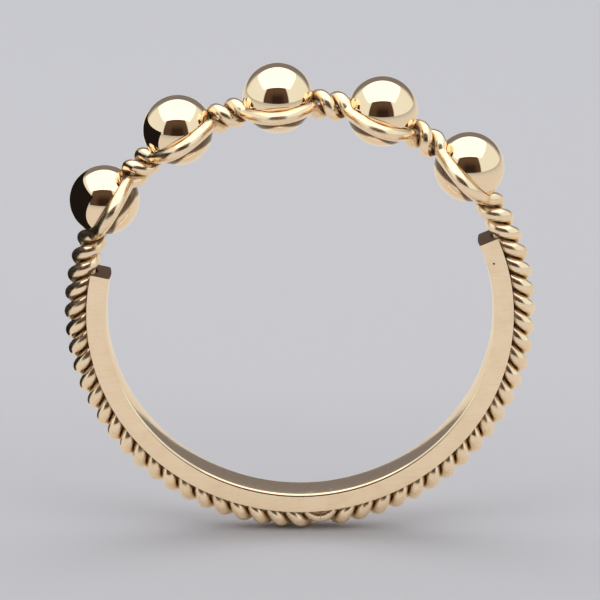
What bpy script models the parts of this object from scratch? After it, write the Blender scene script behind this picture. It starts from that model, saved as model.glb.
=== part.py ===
"""Beaded rope wedding band, modelled in Blender as separate solids.

Five polished gold beads sit in a row over the top of the band.  Two gold
wires, twisted together into a rope, run all the way round: at each bead they
part, one passing in front and one behind, and close up again.  Past the end
beads the two sides of the shank are twisted as mirror images of each other and
butt together under the finger.  Round the lower part of the finger hole the
rope lies on a plain inner liner.

Frame: the band stands upright on the origin, its lowest point.  +Z points up
through the finger hole's centre and the middle bead, +Y runs along the hole's
axis away from the viewer and +X to the viewer's right.  Lengths below are in
millimetres and become metres as the meshes are made.
"""

import math

import bmesh
import bpy
from mathutils import Matrix, Vector

MM = 0.001

# Finger hole and liner
HOLE_RADIUS = 8.67            # inside radius of a US size 7 ring
LINER_FLOOR = 0.60            # thickness under the rope
LINER_OUTER_RADIUS = 9.60     # the two rims beside the rope reach out to here
LINER_WIDTH = 1.50
LINER_CROWN = 0.06            # how far the middle of the inner face stands proud
LINER_EDGE = 0.12             # chamfer along the edges next to the finger
RIM_EDGE = 0.04               # chamfer along the rims
TROUGH_STEPS = 6              # flats across the channel that holds the rope
LINER_END_ANGLE = 72.0        # degrees from the middle bead to each cut end
LINER_STEP_ANGLE = 4.5        # degrees between sections of the liner

# Rope of two wires
WIRE_RADIUS = 0.315           # on the shank
ARCH_WIRE_RADIUS = 0.30       # drawn tighter between and over the beads
SHANK_TWIST_RADIUS = 0.345    # wire centre to rope axis on the shank
ARCH_TWIST_RADIUS = 0.375     # wire centre to rope axis between the beads
SHANK_CHANGE_START = 1.7      # the rope changes from arch to shank this far past
SHANK_CHANGE_LENGTH = 1.0     # an end bead's centre, over this length
FIT_GAP = 0.02                # clearance between neighbouring pieces
BUTT_GAP = 0.03               # between the two ends of one wire, under the shank
SHANK_TURNS = 11.5            # turns of the rope on each side of the shank
SHANK_REST = 0.10             # the wires lie straight this close to the butt joint
GAP_TURNS = 1                 # full turns between neighbouring beads

# Beads
BEAD_COUNT = 5
BEAD_RADIUS = 1.56
BEAD_SPACING_ANGLE = 26.3     # degrees
BEAD_LIFT = 0.30              # bead centre outside the rope's axis circle

# Shape of the eye that the two wires make round a bead
EYE_HALF_LENGTH = 1.65        # where each wire's bow would meet the rope's axis
EYE_BLEND = 0.22              # rounds the change from bow to twist
TWIST_START = 1.30            # the wires run straight up to here from a bead's centre
TWIST_EASE = 0.40             # and reach their full rate of turn over this length

# Mesh fineness
WIRE_SIDES = 6
ARCH_STEP = 0.26              # path length between wire sections over the beads
SHANK_SECTIONS_PER_TURN = 11
MEASURING_STEP = 0.01         # step along the rope when spacing the sections
SHORTEST_SECTION = 0.05       # a shorter last section joins the one before it
BEAD_SEGMENTS = 20
BEAD_RINGS = 12
WIRE_SHARP_ANGLE = 70.0       # edges sharper than these, in degrees, stay crisp
BEAD_SHARP_ANGLE = 50.0
LINER_SHARP_ANGLE = 30.0

GOLD_COLOUR = (0.93, 0.70, 0.44, 1.0)
GOLD_ROUGHNESS = 0.12

ROPE_RADIUS = (HOLE_RADIUS + LINER_FLOOR + FIT_GAP
               + SHANK_TWIST_RADIUS + WIRE_RADIUS)
ROPE_OUTER_RADIUS = ROPE_RADIUS + SHANK_TWIST_RADIUS + WIRE_RADIUS
HOLE_CENTRE = Vector((0.0, 0.0, ROPE_OUTER_RADIUS))
BEAD_CIRCLE_RADIUS = ROPE_RADIUS + BEAD_LIFT
FULL_CIRCLE = 2.0 * math.pi * ROPE_RADIUS
BEAD_PITCH = math.radians(BEAD_SPACING_ANGLE) * ROPE_RADIUS
EYE_RADIUS = BEAD_RADIUS + ARCH_WIRE_RADIUS + FIT_GAP
FIRST_BEAD = -(BEAD_COUNT - 1) / 2.0 * BEAD_PITCH
SHANK_SPAN = FULL_CIRCLE - (BEAD_COUNT - 1) * BEAD_PITCH


def clear_scene():
    for old in list(bpy.data.objects):
        bpy.data.objects.remove(old, do_unlink=True)


def gold_material(name, roughness):
    material = bpy.data.materials.new(name)
    material.use_nodes = True
    shader = material.node_tree.nodes["Principled BSDF"]
    shader.inputs["Base Color"].default_value = GOLD_COLOUR
    shader.inputs["Metallic"].default_value = 1.0
    shader.inputs["Roughness"].default_value = roughness
    return material


def new_object(name, mesh, material):
    obj = bpy.data.objects.new(name, mesh)
    obj.data.materials.append(material)
    bpy.context.scene.collection.objects.link(obj)
    return obj


def smoothstep(value):
    value = min(max(value, 0.0), 1.0)
    return value * value * (3.0 - 2.0 * value)


# ---------------------------------------------------------------- rope path

def ring_directions(along):
    """Outward and onward unit vectors at arc length `along` from the top."""
    angle = along / ROPE_RADIUS
    outward = Vector((math.sin(angle), 0.0, math.cos(angle)))
    onward = Vector((math.cos(angle), 0.0, -math.sin(angle)))
    return outward, onward


def eased_turn(distance, finish, turn):
    """Twist gathered from a bead's centre to `distance` along the rope.

    It starts clear of the bead, eases in and out, and reaches `turn` at `finish`.
    """
    rate = turn / (finish - TWIST_START - TWIST_EASE)
    past = distance - TWIST_START
    left = finish - distance
    if past <= 0.0:
        return 0.0
    if past < TWIST_EASE:
        return rate * past * past / (2.0 * TWIST_EASE)
    if left <= 0.0:
        return turn
    if left < TWIST_EASE:
        return turn - rate * left * left / (2.0 * TWIST_EASE)
    return rate * (past - TWIST_EASE / 2.0)


def twist_angle(along):
    """Angle of the front wire round the rope's axis, zero being the front."""
    gap_turn = GAP_TURNS * 2.0 * math.pi
    past_end_bead = abs(along) + FIRST_BEAD
    if past_end_bead > 0.0:
        shank_turn = SHANK_TURNS * 2.0 * math.pi
        turned = eased_turn(past_end_bead, SHANK_SPAN / 2.0 - SHANK_REST, shank_turn)
        arch_turn = (BEAD_COUNT - 1) * gap_turn if along > 0.0 else 0.0
        return turned - arch_turn
    gap = min(int((along - FIRST_BEAD) / BEAD_PITCH), BEAD_COUNT - 2)
    into = along - FIRST_BEAD - gap * BEAD_PITCH
    return -gap * gap_turn - eased_turn(into, BEAD_PITCH - TWIST_START, gap_turn)


def nearest_bead_distance(along):
    return min(abs(along - FIRST_BEAD - k * BEAD_PITCH) for k in range(BEAD_COUNT))


def shank_share(along):
    """0 among the beads, 1 on the shank, with a short change between."""
    past_last_bead = abs(along) + FIRST_BEAD
    return smoothstep((past_last_bead - SHANK_CHANGE_START) / SHANK_CHANGE_LENGTH)


def twist_radius(along):
    """Distance from the rope's axis to a wire's centre where the rope is closed."""
    return ARCH_TWIST_RADIUS + shank_share(along) * (
        SHANK_TWIST_RADIUS - ARCH_TWIST_RADIUS)


def eye_radius(along):
    """How far a wire may stand in front of or behind the axis: it bows at a bead."""
    closed = twist_radius(along)
    reach = nearest_bead_distance(along) / EYE_HALF_LENGTH
    bow = EYE_RADIUS * (1.0 - reach * reach)
    return (closed + bow + math.hypot(closed - bow, EYE_BLEND)) / 2.0


def wire_radius(along):
    return ARCH_WIRE_RADIUS + shank_share(along) * (WIRE_RADIUS - ARCH_WIRE_RADIUS)


def wire_point(along, side):
    """Centre of a wire; `side` is +1 for one wire and -1 for the other."""
    outward, _ = ring_directions(along)
    front = Vector((0.0, -1.0, 0.0))
    angle = twist_angle(along)
    forward = side * eye_radius(along) * math.cos(angle)
    lift = side * twist_radius(along) * math.sin(angle)
    return HOLE_CENTRE + (ROPE_RADIUS + lift) * outward + forward * front


def wire_stations(side):
    """Arc lengths of a wire's sections, evenly spaced along the wire itself."""
    end = FULL_CIRCLE / 2.0 - BUTT_GAP / 2.0
    start = -end
    shank_turn_length = SHANK_SPAN / 2.0 / SHANK_TURNS
    shank_path = math.hypot(shank_turn_length, 2.0 * math.pi * SHANK_TWIST_RADIUS)
    shank_step = shank_path / SHANK_SECTIONS_PER_TURN
    stations = [start]
    travelled = 0.0
    along = start
    here = wire_point(along, side)
    while along < end - MEASURING_STEP:
        along += MEASURING_STEP
        there = wire_point(along, side)
        travelled += (there - here).length
        here = there
        step = ARCH_STEP + shank_share(along) * (shank_step - ARCH_STEP)
        if travelled >= step:
            stations.append(along)
            travelled = 0.0
    if end - stations[-1] < SHORTEST_SECTION:
        stations.pop()
    stations.append(end)
    return stations


# -------------------------------------------------------------------- meshes

def sweep_tube(centres, radii, sides, kept):
    """A capped tube through the kept centres.

    The sections turn as little as possible along the whole path, so a cutter
    made from part of a wire has its flats where the wire has them.
    """
    bm = bmesh.new()
    rings = []
    normal = None
    for i, centre in enumerate(centres):
        before = centres[max(i - 1, 0)]
        after = centres[min(i + 1, len(centres) - 1)]
        tangent = (after - before).normalized()
        if normal is None:
            normal = tangent.orthogonal().normalized()
        normal = (normal - normal.dot(tangent) * tangent).normalized()
        if i not in kept:
            continue
        across = tangent.cross(normal)
        ring = []
        for k in range(sides):
            angle = 2.0 * math.pi * k / sides
            spoke = math.cos(angle) * normal + math.sin(angle) * across
            ring.append(bm.verts.new((centre + radii[i] * spoke) * MM))
        rings.append(ring)
    for first, second in zip(rings, rings[1:]):
        for k in range(sides):
            after = (k + 1) % sides
            bm.faces.new((first[k], first[after], second[after], second[k]))
    bm.faces.new(list(reversed(rings[0])))
    bm.faces.new(rings[-1])
    bmesh.ops.recalc_face_normals(bm, faces=bm.faces)
    mesh = bpy.data.meshes.new("tube")
    bm.to_mesh(mesh)
    bm.free()
    return mesh


def make_wire(name, side, material):
    stations = wire_stations(side)
    centres = [wire_point(along, side) for along in stations]
    radii = [wire_radius(along) for along in stations]
    mesh = sweep_tube(centres, radii, WIRE_SIDES, range(len(stations)))
    mesh.shade_smooth()
    mesh.set_sharp_from_angle(angle=math.radians(WIRE_SHARP_ANGLE))
    return new_object(name, mesh, material)


def make_seat_cutter(bead_along, side, material):
    """The wire over one bead, thicker by the fit gap, to cut the bead's seat."""
    reach = BEAD_RADIUS + 2.0 * ARCH_WIRE_RADIUS
    stations = wire_stations(side)
    centres = [wire_point(along, side) for along in stations]
    radii = [wire_radius(along) + FIT_GAP for along in stations]
    kept = [i for i, along in enumerate(stations) if abs(along - bead_along) < reach]
    mesh = sweep_tube(centres, radii, WIRE_SIDES, kept)
    cutter = new_object("seat_cutter", mesh, material)
    cutter.hide_render = True
    cutter.display_type = "WIRE"
    return cutter


def make_bead(number, material, cutter_material):
    """A ball with its poles on the rope, seated where the two wires press in."""
    along = FIRST_BEAD + (number - 1) * BEAD_PITCH
    outward, onward = ring_directions(along)
    bm = bmesh.new()
    bmesh.ops.create_uvsphere(bm, u_segments=BEAD_SEGMENTS, v_segments=BEAD_RINGS,
                              radius=BEAD_RADIUS * MM)
    mesh = bpy.data.meshes.new("bead")
    bm.to_mesh(mesh)
    bm.free()
    mesh.shade_smooth()
    mesh.set_sharp_from_angle(angle=math.radians(BEAD_SHARP_ANGLE))
    bead = new_object("bead_%d" % number, mesh, material)
    axes = Matrix((outward, onward.cross(outward), onward)).transposed()
    centre = (HOLE_CENTRE + outward * BEAD_CIRCLE_RADIUS) * MM
    bead.matrix_world = Matrix.Translation(centre) @ axes.to_4x4()
    for side in (1, -1):
        cutter = make_seat_cutter(along, side, cutter_material)
        seat = bead.modifiers.new("seat", "BOOLEAN")
        seat.operation = "DIFFERENCE"
        seat.object = cutter
    return bead


def trough_profile():
    """The channel's section, from the back rim's lip to the front rim's."""
    radius = SHANK_TWIST_RADIUS + WIRE_RADIUS + FIT_GAP
    reach = math.acos((ROPE_RADIUS - LINER_OUTER_RADIUS) / radius)
    points = []
    for i in range(TROUGH_STEPS + 1):
        angle = reach * (1.0 - 2.0 * i / TROUGH_STEPS)
        points.append((ROPE_RADIUS - radius * math.cos(angle),
                       radius * math.sin(angle)))
    return points


def liner_profile():
    """Section of the liner as (radius, width) pairs, going round it once."""
    half = LINER_WIDTH / 2.0
    shoulder = HOLE_RADIUS + LINER_CROWN
    back = [
        (shoulder, half - LINER_EDGE),
        (shoulder + LINER_EDGE, half),
        (LINER_OUTER_RADIUS - RIM_EDGE, half),
        (LINER_OUTER_RADIUS, half - RIM_EDGE),
    ]
    front = [(radius, -width) for radius, width in reversed(back)]
    return [(HOLE_RADIUS, 0.0)] + back + trough_profile() + front


def make_liner(name, material):
    """A strip round the lower part of the hole, open across the top."""
    bm = bmesh.new()
    profile = liner_profile()
    start = math.radians(LINER_END_ANGLE)
    sweep = 2.0 * math.pi - 2.0 * start
    steps = round(math.degrees(sweep) / LINER_STEP_ANGLE)
    rings = []
    for i in range(steps + 1):
        angle = start + sweep * i / steps
        outward = Vector((math.sin(angle), 0.0, math.cos(angle)))
        ring = []
        for radius, width in profile:
            point = HOLE_CENTRE + outward * radius + Vector((0.0, width, 0.0))
            ring.append(bm.verts.new(point * MM))
        rings.append(ring)
    count = len(profile)
    for first, second in zip(rings, rings[1:]):
        for k in range(count):
            after = (k + 1) % count
            bm.faces.new((first[k], first[after], second[after], second[k]))
    bm.faces.new(rings[0])
    bm.faces.new(rings[-1])
    bmesh.ops.recalc_face_normals(bm, faces=bm.faces)
    mesh = bpy.data.meshes.new(name)
    bm.to_mesh(mesh)
    bm.free()
    mesh.shade_smooth()
    mesh.set_sharp_from_angle(angle=math.radians(LINER_SHARP_ANGLE))
    return new_object(name, mesh, material)


def build():
    clear_scene()
    guide = gold_material("cutter_guide", GOLD_ROUGHNESS)
    make_wire("rope_wire_a", 1, gold_material("rope_wire_a_gold", GOLD_ROUGHNESS))
    make_wire("rope_wire_b", -1, gold_material("rope_wire_b_gold", GOLD_ROUGHNESS))
    make_liner("inner_liner", gold_material("liner_gold", GOLD_ROUGHNESS))
    for number in range(1, BEAD_COUNT + 1):
        polish = gold_material("bead_%d_gold" % number, GOLD_ROUGHNESS / 2.0)
        make_bead(number, polish, guide)


build()
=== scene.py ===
"""Looks for the beaded rope wedding band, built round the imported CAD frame.

Every CAD node is replaced by a finely meshed piece of the same shape and
place, with a procedural gold.  In the settings, lengths are in millimetres
and angles in degrees unless a comment says otherwise.
"""

import math

import bmesh
import bpy
from mathutils import Matrix, Vector
from mathutils.kdtree import KDTree


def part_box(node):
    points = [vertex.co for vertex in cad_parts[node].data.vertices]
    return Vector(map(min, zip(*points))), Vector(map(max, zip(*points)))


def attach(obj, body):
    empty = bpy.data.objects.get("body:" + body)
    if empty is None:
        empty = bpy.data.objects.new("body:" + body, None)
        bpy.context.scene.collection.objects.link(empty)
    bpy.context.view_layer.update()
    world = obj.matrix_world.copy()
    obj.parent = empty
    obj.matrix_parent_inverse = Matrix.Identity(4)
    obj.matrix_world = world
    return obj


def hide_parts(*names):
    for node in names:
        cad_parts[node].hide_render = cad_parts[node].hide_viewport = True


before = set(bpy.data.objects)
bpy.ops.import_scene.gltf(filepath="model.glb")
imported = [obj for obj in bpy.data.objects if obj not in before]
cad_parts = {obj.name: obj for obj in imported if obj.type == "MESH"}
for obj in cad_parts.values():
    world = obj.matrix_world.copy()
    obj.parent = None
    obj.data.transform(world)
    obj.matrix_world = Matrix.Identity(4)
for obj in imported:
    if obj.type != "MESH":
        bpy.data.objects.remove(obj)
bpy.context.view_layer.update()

MM = 0.001

# The band's own sizes, as in the CAD
HOLE_RADIUS = 8.67
ROPE_RADIUS = 9.95
WIRE_RADIUS = 0.315
ARCH_WIRE_RADIUS = 0.30
SHANK_TWIST_RADIUS = 0.345    # from the rope's axis to a wire's
ARCH_TWIST_RADIUS = 0.375
SHANK_CHANGE_START = 1.7      # past an end bead's centre, where the sizes change
SHANK_CHANGE_LENGTH = 1.0
FIT_GAP = 0.02
BUTT_GAP = 0.03
SHANK_TURNS = 11.5            # turns of the rope down each side of the shank
SHANK_REST = 0.10
BEAD_COUNT = 5
BEAD_RADIUS = 1.56
BEAD_SPACING_ANGLE = 26.3
EYE_HALF_LENGTH = 1.65        # half the loop that the wires make round a bead
EYE_BLEND = 0.22
TWIST_START = 1.30            # from a bead's centre
TWIST_EASE = 0.40
LINER_OUTER_RADIUS = 9.60
LINER_WIDTH = 1.50
LINER_CROWN = 0.06
LINER_EDGE = 0.12
RIM_EDGE = 0.04
LINER_END_ANGLE = 72.0        # from the top, on both sides

# Fineness of the meshes
WIRE_SIDES = 20
WIRE_STEP = 0.085
WIRE_SUBSTEPS = 12            # finer steps that measure the wire's own length
WIRE_SHARP_ANGLE = 60.0
BEAD_SEGMENTS = 128
BEAD_RINGS = 84
BALL_TOLERANCE = 0.004        # share of the radius; corners within it are on the ball
LINER_STEP_ANGLE = 0.9
LINER_SHARP_ANGLE = 32.0
CROWN_SHARES = (0.66, 0.33)   # points on the crowned face, as shares of its half width
TROUGH_STEPS = 16
ROUNDING_STEPS = 4
PIT_SUBDIVISIONS = 3

# Small unevenness of hand-finished metal
WIRE_WAVER = 0.006            # how far a wire's radius varies
WAVER_RATES = (1.9, 3.1)      # radians per millimetre along the rope
PIT_RADIUS = 0.070            # casting pit in the liner's front side, on the right
PIT_DEPTH = 0.115
PIT_ANGLE = 78.5
PIT_CIRCLE_RADIUS = 9.05

# Finish of each kind of piece: base roughness and strength of the hairlines
WIRE_FINISH = (0.16, 0.40)
LINER_FINISH = (0.09, 0.45)
BEAD_FINISH = (0.022, 0.16)
WIRE_SEEDS = (1, 2)
LINER_SEED = 3
BEAD_SEED = 10
SEED_SHIFT = (0.37, 0.11, 0.23)        # metres that the pattern moves per seed

# Gold and its wear; noise scales are per metre, spans are of a noise's value
GOLD_BRIGHT = (0.955, 0.752, 0.535, 1.0)
GOLD_DEEP = (0.935, 0.725, 0.50, 1.0)
GOLD_WORN = (0.84, 0.62, 0.40, 1.0)    # where the polish has dulled
SPECULAR_TINT = (1.0, 0.95, 0.85, 1.0)
NOISE_ROUGHNESS = 0.55
CLOUD_SCALE = 260.0
CLOUD_SPAN = (0.35, 0.65)              # from bright to deep gold
GRAIN_SCALE = 5200.0
SMEAR_SCALE = 900.0
SMUDGE_SPAN = (0.42, 0.66)
HAZE_SPAN = (0.35, 0.75)
SCRATCH = (0.60, 0.42, 0.24, 1.0)
SCRATCH_SETS = (((0.3, 0.5, 0.2), 700.0),      # turn in radians and scale of each
                ((1.1, -0.4, 0.9), 950.0))
SCRATCH_STRETCH = 45.0
SCRATCH_SPAN = (0.58, 0.74)
SMUDGE_SHARE = 0.9                     # these three are multiplied by the strength
SCRATCH_SHARE = 0.6
SCRATCH_ROUGHNESS = 0.35
CREVICE_ROUGHNESS = 0.15
RIPPLE_HEIGHT = 0.004                  # unevenness of the polished surface
SCRATCH_RELIEF = -0.12                 # shares of the ripples' height
GRAIN_RELIEF = 0.05

# Painted shade, with a little tarnish, darkening the crevices; spans are of openness, 1
# being fully open
SHADE_AND_TARNISH = (0.16, 0.092, 0.045, 1.0)
SHADE_AND_FILM_DULLING = 0.5                     # how much less metallic the painted shade and film are
CREVICE_REACH = 0.45                   # how deep a crevice has to be to get painted shade and film
CREVICE_SAMPLES = 8
CREVICE_SPAN = (0.05, 0.55)
CREVICE_SHADE_AND_TARNISH = 0.6                  # share of painted shade and film where a crevice is deepest
CREASE_SPAN = (0.50, 0.78)             # a rope crease, from most painted shade to none
CREASE_SHADE_AND_TARNISH = 0.45
GROOVE_REACH = 0.60                    # painted shade and film on the middle bead, out from a wire
GROOVE_REACH_STEP = 0.07               # it reaches less far on each bead outward
GROOVE_EDGE = 0.12                     # width over which it fades
HOLE_SIDE_SPAN = (-0.05, 0.20)         # painted shade in creases and grooves is kept where they face the hole

# The liner's sawn ends, painted dark brown for the shade on them
SAWN_SHADED_DARK = (0.13, 0.07, 0.03, 1.0)
SAWN_SHADED_PALE = (0.26, 0.155, 0.075, 1.0)
SAWN_METALLIC = 0.85
SAW_MARK_SCALE = 16000.0
SAW_MARK_SPAN = (0.3, 0.7)
SAWN_ROUGHNESS = (0.30, 0.42)

# Stage and camera
STAGE_TURN = 5.5              # the band has rolled this far on the floor
CAMERA_ELEVATION = 22.0
CAMERA_DISTANCE = 172.0
CAMERA_AIM = 0.6              # above the finger hole's centre
CAMERA_SENSOR = 36.0
CAMERA_CLIP = (0.01, 5.0)     # metres
FRAME_WIDTH = 27.0            # width of the picture at the band
FLOOR_SEEN = (0.50, 0.497, 0.535, 1.0)
FLOOR_MIRRORED = (0.70, 0.695, 0.70, 1.0)
FLOOR_ROUGHNESS = 0.9
FLOOR_SHEEN = 0.1
FLOOR_REACH = 1500.0
SOFTBOX_GLOW = (1.0, 0.985, 0.97, 1.0)
SOFTBOX_STRENGTH = 1.75
SOFTBOX_HEIGHT = 150.0        # above the finger hole's centre
SOFTBOX_LEFT = -165.0
SOFTBOX_RIGHT = 140.0
SOFTBOX_NEAR = -108.0
SOFTBOX_FAR = 155.0
CARD_BLACK = (0.012, 0.010, 0.010, 1.0)
CARD_LEFT = -14.5             # dark card beside the left leg
CARD_TOP = 9.9
CARD_NEAR_TOP = -8.0
CARD_NEAR_FOOT = 3.0
CARD_FAR = 14.6
CARD_SEEN_FROM = -2.3         # only gold further left than this mirrors the card

# Surroundings; the dim room's edges are slopes off the line to the viewer
BACKDROP = (0.63, 0.62, 0.67, 1.0)
WALL_SIDE = (0.92, 1.0, 0.98, 1.0)
WALL_BEHIND = (0.22, 0.22, 0.25, 1.0)
WALL_BEHIND_SPAN = (0.55, 0.75)
ROOM_BROWN = (0.115, 0.075, 0.052, 1.0)
ROOM_DARK = (0.035, 0.020, 0.014, 1.0)
ROOM_LEFT = (-1.12, -1.02)
ROOM_RIGHT = (0.70, 0.80)
ROOM_TOP = (1.42, 1.50)
ROOM_FORWARD = 0.05           # least part of a direction towards the viewer
ROOM_LOW = (0.35, 0.80)       # the darker patch low in the room's middle
ROOM_MIDDLE = (0.25, 0.50)
ROOM_FLANK_SHARE = 0.35       # what is left of that patch at the sides

NEARLY_ZERO = 0.001           # keeps a division from running away
FULL_TURN = 2.0 * math.pi
FULL_CIRCLE = FULL_TURN * ROPE_RADIUS
BEAD_PITCH = math.radians(BEAD_SPACING_ANGLE) * ROPE_RADIUS
EYE_RADIUS = BEAD_RADIUS + ARCH_WIRE_RADIUS + FIT_GAP
FIRST_BEAD = -(BEAD_COUNT - 1) / 2.0 * BEAD_PITCH
SHANK_SPAN = FULL_CIRCLE - (BEAD_COUNT - 1) * BEAD_PITCH
ROPE_OUTER_RADIUS = ROPE_RADIUS + SHANK_TWIST_RADIUS + WIRE_RADIUS
HOLE_CENTRE = Vector((0.0, 0.0, ROPE_OUTER_RADIUS))


# ---------------------------------------------------------------- rope path
# `along` is the arc length from the top of the band, positive to the right.

def smoothstep(value):
    value = min(max(value, 0.0), 1.0)
    return value * value * (3.0 - 2.0 * value)


def outward_at(angle):
    """Direction away from the hole's centre, the angle in radians from the top."""
    return Vector((math.sin(angle), 0.0, math.cos(angle)))


def eased_turn(distance, finish, turn):
    """Twist gathered from a bead's centre to `distance` along the rope.

    It starts clear of the bead, eases in and out, and reaches `turn` at `finish`.
    """
    rate = turn / (finish - TWIST_START - TWIST_EASE)
    past = distance - TWIST_START
    left = finish - distance
    if past <= 0.0:
        return 0.0
    if past < TWIST_EASE:
        return rate * past * past / (2.0 * TWIST_EASE)
    if left <= 0.0:
        return turn
    if left < TWIST_EASE:
        return turn - rate * left * left / (2.0 * TWIST_EASE)
    return rate * (past - TWIST_EASE / 2.0)


def twist_angle(along):
    """Angle of the front wire round the rope's axis, zero being the front."""
    past_end_bead = abs(along) + FIRST_BEAD
    if past_end_bead > 0.0:
        finish = SHANK_SPAN / 2.0 - SHANK_REST
        turned = eased_turn(past_end_bead, finish, SHANK_TURNS * FULL_TURN)
        arch_turn = (BEAD_COUNT - 1) * FULL_TURN if along > 0.0 else 0.0
        return turned - arch_turn
    gap = min(int((along - FIRST_BEAD) / BEAD_PITCH), BEAD_COUNT - 2)
    into = along - FIRST_BEAD - gap * BEAD_PITCH
    return -gap * FULL_TURN - eased_turn(into, BEAD_PITCH - TWIST_START, FULL_TURN)


def nearest_bead_distance(along):
    return min(abs(along - FIRST_BEAD - k * BEAD_PITCH) for k in range(BEAD_COUNT))


def shank_share(along):
    """0 among the beads, 1 on the shank."""
    past_end_bead = abs(along) + FIRST_BEAD
    return smoothstep((past_end_bead - SHANK_CHANGE_START) / SHANK_CHANGE_LENGTH)


def twist_radius(along):
    change = SHANK_TWIST_RADIUS - ARCH_TWIST_RADIUS
    return ARCH_TWIST_RADIUS + shank_share(along) * change


def eye_radius(along):
    """How far the wires stand to the front and back: twisted, or round a bead."""
    closed = twist_radius(along)
    reach = nearest_bead_distance(along) / EYE_HALF_LENGTH
    bow = EYE_RADIUS * (1.0 - reach * reach)
    return (closed + bow + math.hypot(closed - bow, EYE_BLEND)) / 2.0


def wire_radius(along, side):
    """The wire's radius, wavering a little as drawn and polished wire does."""
    plain = ARCH_WIRE_RADIUS + shank_share(along) * (WIRE_RADIUS - ARCH_WIRE_RADIUS)
    slow, quick = WAVER_RATES
    waver = (math.sin(slow * along + side) + math.sin(quick * along + 2.0 * side)) / 2.0
    return plain - WIRE_WAVER * (1.0 + waver) / 2.0


def wire_point(along, side):
    """The wire's centre; `side` is 1 for the front wire and -1 for the back one."""
    outward = outward_at(along / ROPE_RADIUS)
    front = Vector((0.0, -1.0, 0.0))
    angle = twist_angle(along)
    forward = side * eye_radius(along) * math.cos(angle)
    lift = side * twist_radius(along) * math.sin(angle)
    return HOLE_CENTRE + (ROPE_RADIUS + lift) * outward + forward * front


def wire_stations(side):
    """Arc lengths of the sections, evenly spaced along the wire itself."""
    end = FULL_CIRCLE / 2.0 - BUTT_GAP / 2.0
    stations = [-end]
    travelled = 0.0
    along = -end
    here = wire_point(along, side)
    fine = WIRE_STEP / WIRE_SUBSTEPS
    while along < end - fine:
        along += fine
        there = wire_point(along, side)
        travelled += (there - here).length
        here = there
        if travelled >= WIRE_STEP:
            stations.append(along)
            travelled = 0.0
    if end - stations[-1] < WIRE_STEP / 2.0:
        stations.pop()
    stations.append(end)
    return stations


def wire_course(side):
    """The wire's sections: arc lengths, centres and radii."""
    stations = wire_stations(side)
    centres = [wire_point(along, side) for along in stations]
    radii = [wire_radius(along, side) for along in stations]
    return stations, centres, radii


# -------------------------------------------------------------------- meshes

def new_object(name, mesh, material):
    obj = bpy.data.objects.new(name, mesh)
    obj.data.materials.append(material)
    bpy.context.scene.collection.objects.link(obj)
    return obj


def mesh_from(bm, name):
    mesh = bpy.data.meshes.new(name)
    bm.to_mesh(mesh)
    bm.free()
    return mesh


def stand_in(obj, node):
    """Puts a finished piece on its body, in place of its CAD node."""
    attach(obj, "root")
    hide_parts(node)


def cut_away(obj, cutters, name):
    """Replaces the object by one named `name` that lacks the cutters' shapes."""
    for cutter in cutters:
        cut = obj.modifiers.new("cut", "BOOLEAN")
        cut.operation = "DIFFERENCE"
        cut.object = cutter
    graph = bpy.context.evaluated_depsgraph_get()
    mesh = bpy.data.meshes.new_from_object(obj.evaluated_get(graph))
    mesh.name = name
    material = obj.data.materials[0]
    matrix = obj.matrix_world.copy()
    for used in [obj] + cutters:
        bpy.data.objects.remove(used, do_unlink=True)
    mesh.materials.clear()
    result = new_object(name, mesh, material)
    result.matrix_world = matrix
    return result


def join_rings(bm, rings):
    """Fills between each ring of points and the next."""
    count = len(rings[0])
    for first, second in zip(rings, rings[1:]):
        for k in range(count):
            after = (k + 1) % count
            bm.faces.new((first[k], first[after], second[after], second[k]))


def sweep_tube(centres, radii, kept):
    """A capped tube through the kept centres, its sections turning least."""
    bm = bmesh.new()
    rings = []
    normal = None
    for i, centre in enumerate(centres):
        before = centres[max(i - 1, 0)]
        after = centres[min(i + 1, len(centres) - 1)]
        tangent = (after - before).normalized()
        if normal is None:
            normal = tangent.orthogonal().normalized()
        normal = (normal - normal.dot(tangent) * tangent).normalized()
        if i not in kept:
            continue
        across = tangent.cross(normal)
        ring = []
        for k in range(WIRE_SIDES):
            angle = FULL_TURN * k / WIRE_SIDES
            spoke = math.cos(angle) * normal + math.sin(angle) * across
            ring.append(bm.verts.new((centre + radii[i] * spoke) * MM))
        rings.append(ring)
    join_rings(bm, rings)
    bm.faces.new(list(reversed(rings[0])))
    bm.faces.new(rings[-1])
    bmesh.ops.recalc_face_normals(bm, faces=bm.faces)
    return mesh_from(bm, "tube")


def make_wire(node, course, material):
    stations, centres, radii = course
    mesh = sweep_tube(centres, radii, range(len(stations)))
    mesh.shade_smooth()
    mesh.set_sharp_from_angle(angle=math.radians(WIRE_SHARP_ANGLE))
    wire = new_object(node + "_fine", mesh, material)
    stand_in(wire, node)


def make_seat_cutter(along, course, material):
    """The stretch of a wire that passes a bead, fuller by the clearance."""
    stations, centres, radii = course
    reach = BEAD_RADIUS + 2.0 * ARCH_WIRE_RADIUS
    kept = {i for i, place in enumerate(stations) if abs(place - along) < reach}
    swollen = [radius + FIT_GAP for radius in radii]
    return new_object("seat_cutter", sweep_tube(centres, swollen, kept), material)


def point_sphere_normals_outward(mesh):
    """Keeps the ball's reflections true right up to the seats cut in it."""
    radius = BEAD_RADIUS * MM
    tolerance = BALL_TOLERANCE * radius
    normals = []
    for polygon in mesh.polygons:
        corners = [mesh.vertices[i].co for i in polygon.vertices]
        on_ball = all(abs(c.length - radius) < tolerance for c in corners)
        for corner in corners:
            normals.append(corner.normalized() if on_ball else polygon.normal)
    mesh.normals_split_custom_set([tuple(n) for n in normals])


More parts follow.
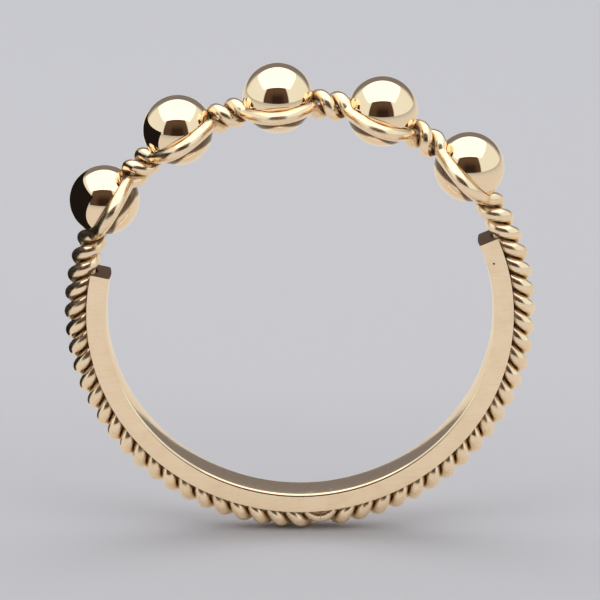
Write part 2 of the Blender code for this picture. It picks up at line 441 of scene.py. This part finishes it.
def note_wire_gap(bead, courses):
    """Stores on each vertex how far, in millimetres, the nearest wire is."""
    centres = [centre for course in courses for centre in course[1]]
    tree = KDTree(len(centres))
    for i, centre in enumerate(centres):
        tree.insert(centre, i)
    tree.balance()
    gap = bead.data.attributes.new("wire_gap", "FLOAT", "POINT")
    for vertex in bead.data.vertices:
        place = bead.matrix_world @ vertex.co
        distance = tree.find(place / MM)[2]
        gap.data[vertex.index].value = distance - ARCH_WIRE_RADIUS


def make_bead(number, courses, material):
    """A ball in its CAD node's place, seated on the two wires."""
    node = "bead_%d" % number
    low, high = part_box(node)
    along = FIRST_BEAD + (number - 1) * BEAD_PITCH
    bm = bmesh.new()
    bmesh.ops.create_uvsphere(bm, u_segments=BEAD_SEGMENTS, v_segments=BEAD_RINGS,
                              radius=BEAD_RADIUS * MM)
    mesh = mesh_from(bm, "bead")
    mesh.shade_smooth()
    bead = new_object("bead", mesh, material)
    outward = outward_at(along / ROPE_RADIUS)
    onward = Vector((outward.z, 0.0, -outward.x))
    axes = Matrix((outward, onward.cross(outward), onward)).transposed()
    bead.matrix_world = Matrix.Translation((low + high) / 2.0) @ axes.to_4x4()
    cutters = [make_seat_cutter(along, course, material) for course in courses]
    bead = cut_away(bead, cutters, node + "_fine")
    point_sphere_normals_outward(bead.data)
    note_wire_gap(bead, courses)
    stand_in(bead, node)


def rounded_corner(before, corner, after, size):
    """Points of a soft corner that starts and ends `size` from the sharp one."""
    start = corner + (before - corner).normalized() * size
    end = corner + (after - corner).normalized() * size
    points = []
    for i in range(ROUNDING_STEPS + 1):
        t = i / ROUNDING_STEPS
        points.append(start * (1.0 - t) ** 2 + corner * 2.0 * t * (1.0 - t)
                      + end * t * t)
    return points


def trough_profile():
    """The channel for the rope, from the liner's back rim to its front one."""
    radius = SHANK_TWIST_RADIUS + WIRE_RADIUS + FIT_GAP
    reach = math.acos((ROPE_RADIUS - LINER_OUTER_RADIUS) / radius)
    points = []
    for i in range(TROUGH_STEPS + 1):
        angle = reach * (1.0 - 2.0 * i / TROUGH_STEPS)
        points.append(Vector((ROPE_RADIUS - radius * math.cos(angle),
                              radius * math.sin(angle))))
    return points


def mirrored(points):
    return [Vector((p.x, -p.y)) for p in points]


def liner_profile():
    """Section of the liner as (radius, width) points, softly rounded."""
    half = LINER_WIDTH / 2.0
    middle = Vector((HOLE_RADIUS, 0.0))
    inner = Vector((HOLE_RADIUS + LINER_CROWN, half))
    outer = Vector((LINER_OUTER_RADIUS, half))
    trough = trough_profile()
    back = rounded_corner(middle, inner, outer, LINER_EDGE)
    back += rounded_corner(inner, outer, trough[0], RIM_EDGE)
    crown = []
    for share in CROWN_SHARES:
        width = (half - LINER_EDGE) * share
        crown.append(Vector((HOLE_RADIUS + LINER_CROWN * share * share, width)))
    return ([middle] + crown[::-1] + back + trough
            + mirrored(back[::-1]) + mirrored(crown))


def liner_blank():
    """The liner's mesh, before the pit is cut in it."""
    bm = bmesh.new()
    profile = liner_profile()
    start = math.radians(LINER_END_ANGLE)
    sweep = FULL_TURN - 2.0 * start
    steps = round(math.degrees(sweep) / LINER_STEP_ANGLE)
    rings = []
    for i in range(steps + 1):
        outward = outward_at(start + sweep * i / steps)
        ring = []
        for point in profile:
            place = HOLE_CENTRE + outward * point.x + Vector((0.0, point.y, 0.0))
            ring.append(bm.verts.new(place * MM))
        rings.append(ring)
    join_rings(bm, rings)
    bm.faces.new(rings[0])
    bm.faces.new(rings[-1])
    bmesh.ops.recalc_face_normals(bm, faces=bm.faces)
    return mesh_from(bm, "liner")


def make_pit_cutter(material):
    bm = bmesh.new()
    bmesh.ops.create_icosphere(bm, subdivisions=PIT_SUBDIVISIONS, radius=PIT_RADIUS * MM)
    pit = new_object("pit_cutter", mesh_from(bm, "pit"), material)
    outward = outward_at(math.radians(PIT_ANGLE))
    surface = HOLE_CENTRE + outward * PIT_CIRCLE_RADIUS
    surface.y = -LINER_WIDTH / 2.0
    lift = Vector((0.0, PIT_DEPTH - PIT_RADIUS, 0.0))
    pit.location = (surface + lift) * MM
    return pit


def saw_the_ends(mesh):
    """Gives the faces of the liner's two cut ends their own gold, painted dark for their
    shade.
    """
    mesh.materials.append(sawn_shaded_gold("liner_end_shaded_fine_gold"))
    for polygon in mesh.polygons:
        level = polygon.center.z - HOLE_CENTRE.z * MM
        from_top = math.degrees(math.atan2(abs(polygon.center.x), level))
        if from_top < LINER_END_ANGLE + LINER_STEP_ANGLE / 4.0:
            polygon.material_index = 1


def make_liner(material):
    liner = new_object("liner", liner_blank(), material)
    liner = cut_away(liner, [make_pit_cutter(material)], "inner_liner_fine")
    liner.data.shade_smooth()
    liner.data.set_sharp_from_angle(angle=math.radians(LINER_SHARP_ANGLE))
    saw_the_ends(liner.data)
    stand_in(liner, "inner_liner")


# --------------------------------------------------------------- shader nodes

def new_material(name):
    """A new material with its node tree and its shader."""
    material = bpy.data.materials.new(name)
    material.use_nodes = True
    tree = material.node_tree
    return material, tree, tree.nodes["Principled BSDF"]


def add_node(tree, kind, **settings):
    node = tree.nodes.new(kind)
    for key, value in settings.items():
        setattr(node, key, value)
    return node


def noise(tree, vector, scale, detail=3.0):
    node = add_node(tree, "ShaderNodeTexNoise")
    node.inputs["Scale"].default_value = scale
    node.inputs["Detail"].default_value = detail
    node.inputs["Roughness"].default_value = NOISE_ROUGHNESS
    tree.links.new(vector, node.inputs["Vector"])
    return node.outputs["Fac"]


def map_range(tree, value, span, to_low=0.0, to_high=1.0):
    """Takes the ends of `span` to the two results, and holds those beyond it."""
    node = add_node(tree, "ShaderNodeMapRange")
    node.inputs["From Min"].default_value = span[0]
    node.inputs["From Max"].default_value = span[1]
    node.inputs["To Min"].default_value = to_low
    node.inputs["To Max"].default_value = to_high
    tree.links.new(value, node.inputs["Value"])
    return node.outputs["Result"]


def arithmetic(tree, operation, first, second):
    node = add_node(tree, "ShaderNodeMath", operation=operation)
    for socket, value in zip(node.inputs, (first, second)):
        if isinstance(value, (int, float)):
            socket.default_value = value
        else:
            tree.links.new(value, socket)
    return node.outputs[0]


def product(tree, first, *others):
    for other in others:
        first = arithmetic(tree, "MULTIPLY", first, other)
    return first


def total(tree, first, *others):
    for other in others:
        first = arithmetic(tree, "ADD", first, other)
    return first


def blend_colours(tree, share, first, second):
    node = add_node(tree, "ShaderNodeMix", data_type="RGBA")
    tree.links.new(share, node.inputs["Factor"])
    for socket, value in ((node.inputs[6], first), (node.inputs[7], second)):
        if isinstance(value, tuple):
            socket.default_value = value
        else:
            tree.links.new(value, socket)
    return node.outputs[2]


def vector_node(tree, operation, first, second=None):
    """A vector calculation on one or two sockets or plain vectors."""
    node = add_node(tree, "ShaderNodeVectorMath", operation=operation)
    for socket, value in zip(node.inputs, (first, second)):
        if isinstance(value, bpy.types.NodeSocket):
            tree.links.new(value, socket)
        elif value is not None:
            socket.default_value = value
    return node


# ----------------------------------------------------------------------- gold

def scratches(tree, coordinates, turn, scale):
    """Fine hairlines: noise stretched far along one direction."""
    mapping = add_node(tree, "ShaderNodeMapping")
    mapping.inputs["Rotation"].default_value = turn
    packed = scale * SCRATCH_STRETCH
    mapping.inputs["Scale"].default_value = (scale, packed, packed)
    tree.links.new(coordinates, mapping.inputs["Vector"])
    lines = noise(tree, mapping.outputs["Vector"], 1.0, detail=2.0)
    return map_range(tree, lines, SCRATCH_SPAN)


def facing_hole(tree):
    """How far the surface faces the finger hole's axis: 1 towards it, -1 away."""
    geometry = add_node(tree, "ShaderNodeNewGeometry")
    inward = vector_node(tree, "SUBTRACT", HOLE_CENTRE * MM, geometry.outputs["Position"])
    flat = vector_node(tree, "MULTIPLY", inward.outputs[0], (1.0, 0.0, 1.0))
    unit = vector_node(tree, "NORMALIZE", flat.outputs[0])
    dot = vector_node(tree, "DOT_PRODUCT", unit.outputs[0], geometry.outputs["Normal"])
    return dot.outputs["Value"]


def shifted_place(tree, seed):
    """The surface's place, moved so that each piece has its own pattern."""
    shifted = add_node(tree, "ShaderNodeMapping")
    shifted.inputs["Location"].default_value = [seed * step for step in SEED_SHIFT]
    coordinates = add_node(tree, "ShaderNodeTexCoord").outputs["Object"]
    tree.links.new(coordinates, shifted.inputs["Vector"])
    return shifted.outputs["Vector"]


def worn_tone(tree, place, smears, lines, hairlines):
    """The metal's own colour, with its smudges and scratches."""
    clouds = map_range(tree, noise(tree, place, CLOUD_SCALE), CLOUD_SPAN)
    tone = blend_colours(tree, clouds, GOLD_BRIGHT, GOLD_DEEP)
    smudged = map_range(tree, smears, SMUDGE_SPAN, 0.0, hairlines * SMUDGE_SHARE)
    tone = blend_colours(tree, smudged, tone, GOLD_WORN)
    return blend_colours(tree, product(tree, lines, hairlines * SCRATCH_SHARE),
                         tone, SCRATCH)


def crevice_and_groove(tree, shade_and_film_reach):
    """Shares of painted shade and tarnish in tight crevices, and in creases facing the
    hole.
    """
    occlusion = add_node(tree, "ShaderNodeAmbientOcclusion", samples=CREVICE_SAMPLES)
    occlusion.inputs["Distance"].default_value = CREVICE_REACH * MM
    openness = occlusion.outputs["AO"]
    crevice = map_range(tree, openness, CREVICE_SPAN, CREVICE_SHADE_AND_TARNISH, 0.0)
    if shade_and_film_reach is None:
        groove = map_range(tree, openness, CREASE_SPAN, CREASE_SHADE_AND_TARNISH, 0.0)
    else:
        # on a bead, painted shade and tarnish along each wire, fading out from it
        gap = add_node(tree, "ShaderNodeAttribute", attribute_name="wire_gap")
        fade = (shade_and_film_reach - GROOVE_EDGE, shade_and_film_reach)
        groove = map_range(tree, gap.outputs["Fac"], fade, 1.0, 0.0)
    # painted shade is kept where the surface faces the hole
    hole_side = map_range(tree, facing_hole(tree), HOLE_SIDE_SPAN)
    return crevice, product(tree, groove, hole_side)


def relief(tree, place, smears, lines, hairlines):
    """Ripples, grain and scratches that the polish has left."""
    grain = noise(tree, place, GRAIN_SCALE, detail=2.0)
    height = total(tree, product(tree, lines, SCRATCH_RELIEF),
                   product(tree, grain, GRAIN_RELIEF), smears)
    bump = add_node(tree, "ShaderNodeBump")
    bump.inputs["Strength"].default_value = hairlines
    bump.inputs["Distance"].default_value = RIPPLE_HEIGHT * MM
    tree.links.new(height, bump.inputs["Height"])
    return bump.outputs["Normal"]


def gold(name, finish, seed, shade_and_film_reach=None):
    """Yellow gold.  `finish` is its roughness and the strength of its hairlines.

    The last argument is how far, in millimetres, painted shade and tarnish spread on a
    bead from a wire.
    """
    polish, hairlines = finish
    material, tree, shader = new_material(name)
    place = shifted_place(tree, seed)
    smears = noise(tree, place, SMEAR_SCALE)
    lines = arithmetic(tree, "MAXIMUM", *(scratches(tree, place, turn, scale)
                                          for turn, scale in SCRATCH_SETS))
    tone = worn_tone(tree, place, smears, lines, hairlines)
    crevice, groove = crevice_and_groove(tree, shade_and_film_reach)
    # painted shade, with a little tarnish, in crevices and along the wires
    shade_and_tarnish = arithmetic(tree, "MAXIMUM", crevice, groove)
    haze = map_range(tree, smears, HAZE_SPAN, 0.0, polish)
    roughness = total(tree, haze, polish,
                      product(tree, lines, hairlines * SCRATCH_ROUGHNESS),
                      product(tree, crevice, CREVICE_ROUGHNESS))
    metallic = total(tree, product(tree, shade_and_tarnish, -SHADE_AND_FILM_DULLING), 1.0)
    colour = blend_colours(tree, shade_and_tarnish, tone, SHADE_AND_TARNISH)
    tree.links.new(colour, shader.inputs["Base Color"])
    tree.links.new(metallic, shader.inputs["Metallic"])
    tree.links.new(roughness, shader.inputs["Roughness"])
    tree.links.new(relief(tree, place, smears, lines, hairlines), shader.inputs["Normal"])
    shader.inputs["Specular Tint"].default_value = SPECULAR_TINT
    return material


def sawn_shaded_gold(name):
    """The liner's cut ends: painted darker for their shade, matt and lightly mottled by
    the saw.
    """
    material, tree, shader = new_material(name)
    coordinates = add_node(tree, "ShaderNodeTexCoord").outputs["Object"]
    marks = noise(tree, coordinates, SAW_MARK_SCALE, detail=1.0)
    colour = blend_colours(tree, marks, SAWN_SHADED_DARK, SAWN_SHADED_PALE)
    roughness = map_range(tree, marks, SAW_MARK_SPAN, *SAWN_ROUGHNESS)
    tree.links.new(colour, shader.inputs["Base Color"])
    tree.links.new(roughness, shader.inputs["Roughness"])
    shader.inputs["Metallic"].default_value = SAWN_METALLIC
    return material


# --------------------------------------------------------------------- stage

def stage_matrix():
    """The level studio, as seen from a band that has rolled a little."""
    centre = HOLE_CENTRE * MM
    turn = Matrix.Rotation(math.radians(STAGE_TURN), 4, "Y")
    return Matrix.Translation(centre) @ turn


def make_panel(name, corners, material, seen_by_camera=False):
    """A flat card given by its corners in the studio's frame, in millimetres."""
    mesh = bpy.data.meshes.new(name)
    mesh.from_pydata([Vector(c) * MM for c in corners], [], [tuple(range(len(corners)))])
    panel = new_object(name, mesh, material)
    panel.matrix_world = stage_matrix()
    panel.visible_camera = seen_by_camera
    if not seen_by_camera:
        panel.visible_shadow = False
    return panel


def glowing(name, colour, strength):
    """A material that gives off its own light, with its tree, glow and output."""
    material, tree, _ = new_material(name)
    tree.nodes.clear()
    glow = add_node(tree, "ShaderNodeEmission")
    glow.inputs["Color"].default_value = colour
    glow.inputs["Strength"].default_value = strength
    output = add_node(tree, "ShaderNodeOutputMaterial")
    tree.links.new(glow.outputs[0], output.inputs["Surface"])
    return material, tree, glow, output


def make_floor():
    """Pale matt floor; the gold mirrors it a little brighter than it looks."""
    material, tree, shader = new_material("floor_pale")
    in_mirror = add_node(tree, "ShaderNodeLightPath").outputs["Is Glossy Ray"]
    colour = blend_colours(tree, in_mirror, FLOOR_SEEN, FLOOR_MIRRORED)
    tree.links.new(colour, shader.inputs["Base Color"])
    shader.inputs["Roughness"].default_value = FLOOR_ROUGHNESS
    shader.inputs["Specular IOR Level"].default_value = FLOOR_SHEEN
    level = -ROPE_OUTER_RADIUS
    reach = FLOOR_REACH
    corners = [(-reach, -reach, level), (reach, -reach, level),
               (reach, reach, level), (-reach, reach, level)]
    make_panel("floor", corners, material, True)


def make_softbox():
    corners = [(SOFTBOX_LEFT, SOFTBOX_NEAR, SOFTBOX_HEIGHT),
               (SOFTBOX_LEFT, SOFTBOX_FAR, SOFTBOX_HEIGHT),
               (SOFTBOX_RIGHT, SOFTBOX_FAR, SOFTBOX_HEIGHT),
               (SOFTBOX_RIGHT, SOFTBOX_NEAR, SOFTBOX_HEIGHT)]
    make_panel("softbox", corners,
               glowing("softbox_glow", SOFTBOX_GLOW, SOFTBOX_STRENGTH)[0])


def ray_start(tree):
    """Where the ray that meets this surface set out from."""
    geometry = add_node(tree, "ShaderNodeNewGeometry")
    way_back = vector_node(tree, "SCALE", geometry.outputs["Incoming"])
    length = add_node(tree, "ShaderNodeLightPath").outputs["Ray Length"]
    tree.links.new(length, way_back.inputs["Scale"])
    start = vector_node(tree, "ADD", geometry.outputs["Position"], way_back.outputs[0])
    return start.outputs[0]


def left_only_black(name):
    """Black as mirrored by the left part of the band, clear for the rest."""
    material, tree, glow, output = glowing(name, CARD_BLACK, 1.0)
    axes = add_node(tree, "ShaderNodeSeparateXYZ")
    tree.links.new(ray_start(tree), axes.inputs[0])
    too_far = arithmetic(tree, "GREATER_THAN", axes.outputs[0], CARD_SEEN_FROM * MM)
    clear = add_node(tree, "ShaderNodeBsdfTransparent")
    choice = add_node(tree, "ShaderNodeMixShader")
    tree.links.new(too_far, choice.inputs[0])
    tree.links.new(glow.outputs[0], choice.inputs[1])
    tree.links.new(clear.outputs[0], choice.inputs[2])
    tree.links.new(choice.outputs[0], output.inputs["Surface"])
    return material


def make_dark_card():
    """Unlit wall beside the left leg that gives the gold its black reflections."""
    foot = -ROPE_OUTER_RADIUS
    corners = [(CARD_LEFT, CARD_NEAR_FOOT, foot), (CARD_LEFT, CARD_FAR, foot),
               (CARD_LEFT, CARD_FAR, CARD_TOP), (CARD_LEFT, CARD_NEAR_TOP, CARD_TOP)]
    card = make_panel("card_left", corners, left_only_black("card_black"))
    card.visible_diffuse = False


def stage_direction(tree):
    """The looked-along direction's parts in the studio's frame."""
    direction = add_node(tree, "ShaderNodeTexCoord").outputs["Generated"]
    unturn = add_node(tree, "ShaderNodeVectorRotate", rotation_type="Y_AXIS")
    unturn.inputs["Angle"].default_value = -math.radians(STAGE_TURN)
    tree.links.new(direction, unturn.inputs["Vector"])
    axes = add_node(tree, "ShaderNodeSeparateXYZ")
    tree.links.new(unturn.outputs["Vector"], axes.inputs[0])
    return axes.outputs


def mirrored_room(tree):
    """What the gold mirrors: pale walls, with a dim room towards the viewer."""
    x, y, z = stage_direction(tree)
    forward = product(tree, y, -1.0)
    toward_viewer = arithmetic(tree, "MAXIMUM", forward, NEARLY_ZERO)
    across = arithmetic(tree, "DIVIDE", x, toward_viewer)
    upward = arithmetic(tree, "DIVIDE", z, toward_viewer)
    room = product(tree, map_range(tree, across, ROOM_LEFT),
                   map_range(tree, across, ROOM_RIGHT, 1.0, 0.0),
                   map_range(tree, upward, ROOM_TOP, 1.0, 0.0),
                   arithmetic(tree, "GREATER_THAN", forward, ROOM_FORWARD))
    off_middle = arithmetic(tree, "ABSOLUTE", across, 0.0)
    patch = product(tree, map_range(tree, upward, ROOM_LOW, 1.0, 0.0),
                    map_range(tree, off_middle, ROOM_MIDDLE, 1.0, ROOM_FLANK_SHARE))
    dim = blend_colours(tree, patch, ROOM_BROWN, ROOM_DARK)
    behind = map_range(tree, y, WALL_BEHIND_SPAN)
    walls = blend_colours(tree, behind, WALL_SIDE, WALL_BEHIND)
    return blend_colours(tree, room, walls, dim)


def make_world():
    """A plain backdrop for the camera, and surroundings for the gold to mirror."""
    world = bpy.data.worlds.new("studio")
    bpy.context.scene.world = world
    world.use_nodes = True
    tree = world.node_tree
    tree.nodes.clear()
    seen_directly = add_node(tree, "ShaderNodeLightPath").outputs["Is Camera Ray"]
    colour = blend_colours(tree, seen_directly, mirrored_room(tree), BACKDROP)
    background = add_node(tree, "ShaderNodeBackground")
    tree.links.new(colour, background.inputs["Color"])
    output = add_node(tree, "ShaderNodeOutputWorld")
    tree.links.new(background.outputs[0], output.inputs["Surface"])


def make_camera():
    data = bpy.data.cameras.new("camera")
    camera = bpy.data.objects.new("camera", data)
    bpy.context.scene.collection.objects.link(camera)
    elevation = math.radians(CAMERA_ELEVATION)
    back = Vector((0.0, -math.cos(elevation), math.sin(elevation)))
    aim = Vector((0.0, 0.0, CAMERA_AIM))
    place = Matrix.Translation((aim + back * CAMERA_DISTANCE) * MM)
    turn = (-back).to_track_quat("-Z", "Y").to_matrix().to_4x4()
    camera.matrix_world = stage_matrix() @ place @ turn
    data.sensor_width = CAMERA_SENSOR
    data.lens = data.sensor_width * CAMERA_DISTANCE / FRAME_WIDTH
    data.clip_start, data.clip_end = CAMERA_CLIP
    bpy.context.scene.camera = camera


def build_band():
    courses = [wire_course(1), wire_course(-1)]
    for seed, letter, course in zip(WIRE_SEEDS, "ab", courses):
        metal = gold("rope_%s_fine_gold" % letter, WIRE_FINISH, seed)
        make_wire("rope_wire_" + letter, course, metal)
    make_liner(gold("liner_fine_gold", LINER_FINISH, LINER_SEED))
    for number in range(1, BEAD_COUNT + 1):
        from_middle = abs(number - (BEAD_COUNT + 1) / 2.0)
        # how far painted shade and tarnish spread from the wires on this bead
        shade_and_film_reach = GROOVE_REACH - GROOVE_REACH_STEP * from_middle
        metal = gold("bead_%d_fine_gold" % number, BEAD_FINISH, BEAD_SEED + number,
                     shade_and_film_reach)
        make_bead(number, courses, metal)


build_band()
make_floor()
make_softbox()
make_dark_card()
make_world()
make_camera()
bpy.context.scene.view_settings.view_transform = "Standard"
